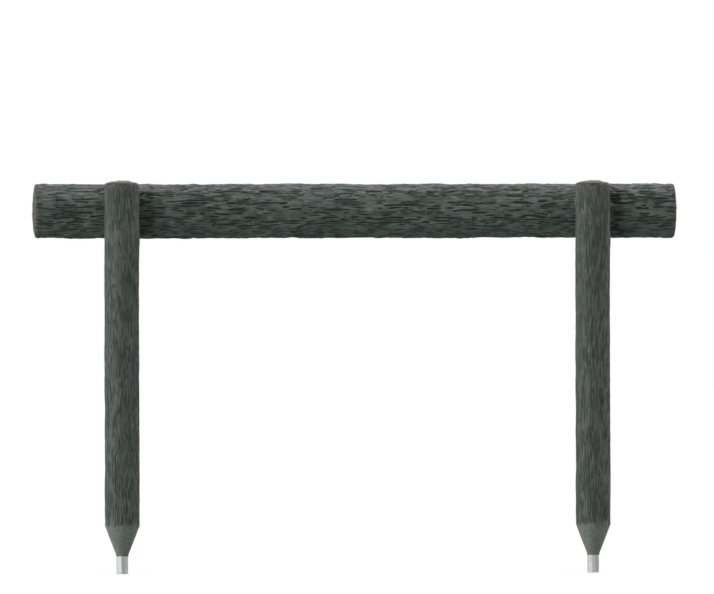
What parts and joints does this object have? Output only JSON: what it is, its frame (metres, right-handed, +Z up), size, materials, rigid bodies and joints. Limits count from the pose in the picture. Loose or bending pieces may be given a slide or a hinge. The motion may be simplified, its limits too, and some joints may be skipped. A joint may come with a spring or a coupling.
{
  "type": "staked log step",
  "caption": "Garden or trail step: a horizontal bark-moulded plastic log held by pointed stakes with steel cores, driven into the ground to hold back an earth tread.",
  "frame": {"origin": "centre of the lower end face of the left stake's steel core pipe, the lowest point of the left stake", "axes": "+X along the log from the left stake to the right one, +Y from the stakes to the log behind them, +Z up along the stakes"},
  "size_m": [1.2, 0.161, 0.728],
  "materials": {
    "bark_plastic": "dark green-grey recycled plastic, moulded as bark, matte",
    "galvanised_pipe": "hot-dip galvanised steel, satin",
    "zinc_fastener": "zinc-plated steel, satin"
  },
  "bodies": {
    "root": {"step_log": "bark_plastic", "left_stake": "bark_plastic", "right_stake": "bark_plastic", "left_core_pipe": "galvanised_pipe", "right_core_pipe": "galvanised_pipe", "left_coach_screw": "zinc_fastener", "right_coach_screw": "zinc_fastener", "left_washer": "zinc_fastener", "right_washer": "zinc_fastener"}
  },
  "joints": []
}
